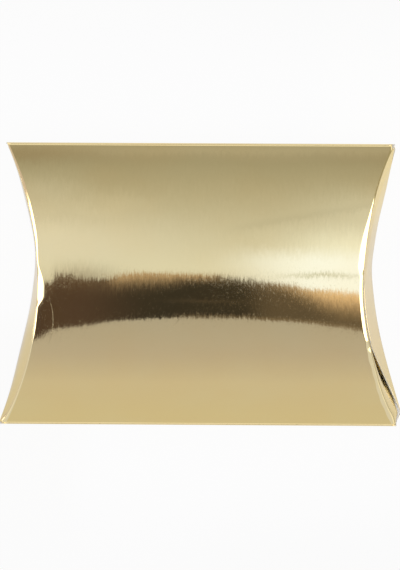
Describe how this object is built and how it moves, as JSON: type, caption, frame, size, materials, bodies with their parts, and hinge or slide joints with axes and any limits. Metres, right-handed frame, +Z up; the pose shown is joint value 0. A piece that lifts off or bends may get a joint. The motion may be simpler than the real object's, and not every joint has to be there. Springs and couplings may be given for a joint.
{
  "type": "pillow box",
  "caption": "Pillow-shaped folding gift box of pale gold mirror board: two bowed panels, a glued side seam and tucked curved flaps at both ends.",
  "frame": {"origin": "on the surface that the box lies on, under the middle of the box", "axes": "+X along the two straight folds, +Y across the box from the glued seam to the spine fold, +Z up through the front face"},
  "size_m": [0.1165, 0.0843, 0.0165],
  "materials": {
    "gold_film": "pale gold metallised film, mirror-bright with a fine satin grain",
    "white_board": "uncoated white board",
    "glue": "dried hot-melt glue"
  },
  "bodies": {
    "tube": {"front_panel": "white_board", "back_panel": "white_board", "spine_fold": "white_board", "seam_fold": "white_board", "glue_tab": "white_board", "front_panel_film": "gold_film", "back_panel_film": "gold_film", "spine_fold_film": "gold_film", "seam_fold_film": "gold_film", "glue_tab_film": "gold_film", "glue_line": "glue"},
    "right_outer_flap": {"right_outer_flap": "white_board", "right_outer_flap_film": "gold_film"},
    "right_inner_flap": {"right_inner_flap": "white_board", "right_inner_flap_film": "gold_film"},
    "left_outer_flap": {"left_outer_flap": "white_board", "left_outer_flap_film": "gold_film"},
    "left_inner_flap": {"left_inner_flap": "white_board", "left_inner_flap_film": "gold_film"}
  },
  "joints": [
    {"name": "right_outer_flap_fold", "type": "hinge", "parent": "tube", "child": "right_outer_flap", "pos_m": [0.05048, 0, 0.0004], "axis": [0, 1, 0], "range_deg": [0, 90]},
    {"name": "right_inner_flap_fold", "type": "hinge", "parent": "tube", "child": "right_inner_flap", "pos_m": [0.04761, 0, 0.0161], "axis": [0, -1, 0], "range_deg": [0, 50]},
    {"name": "left_outer_flap_fold", "type": "hinge", "parent": "tube", "child": "left_outer_flap", "pos_m": [-0.04826, 0, 0.0161], "axis": [0, 1, 0], "range_deg": [0, 90]},
    {"name": "left_inner_flap_fold", "type": "hinge", "parent": "tube", "child": "left_inner_flap", "pos_m": [-0.04983, 0, 0.0004], "axis": [0, -1, 0], "range_deg": [0, 50]}
  ],
  "couplings": [
    {"joint": "right_inner_flap_fold", "follows": "right_outer_flap_fold", "ratio": 0.55},
    {"joint": "left_inner_flap_fold", "follows": "left_outer_flap_fold", "ratio": 0.55}
  ]
}
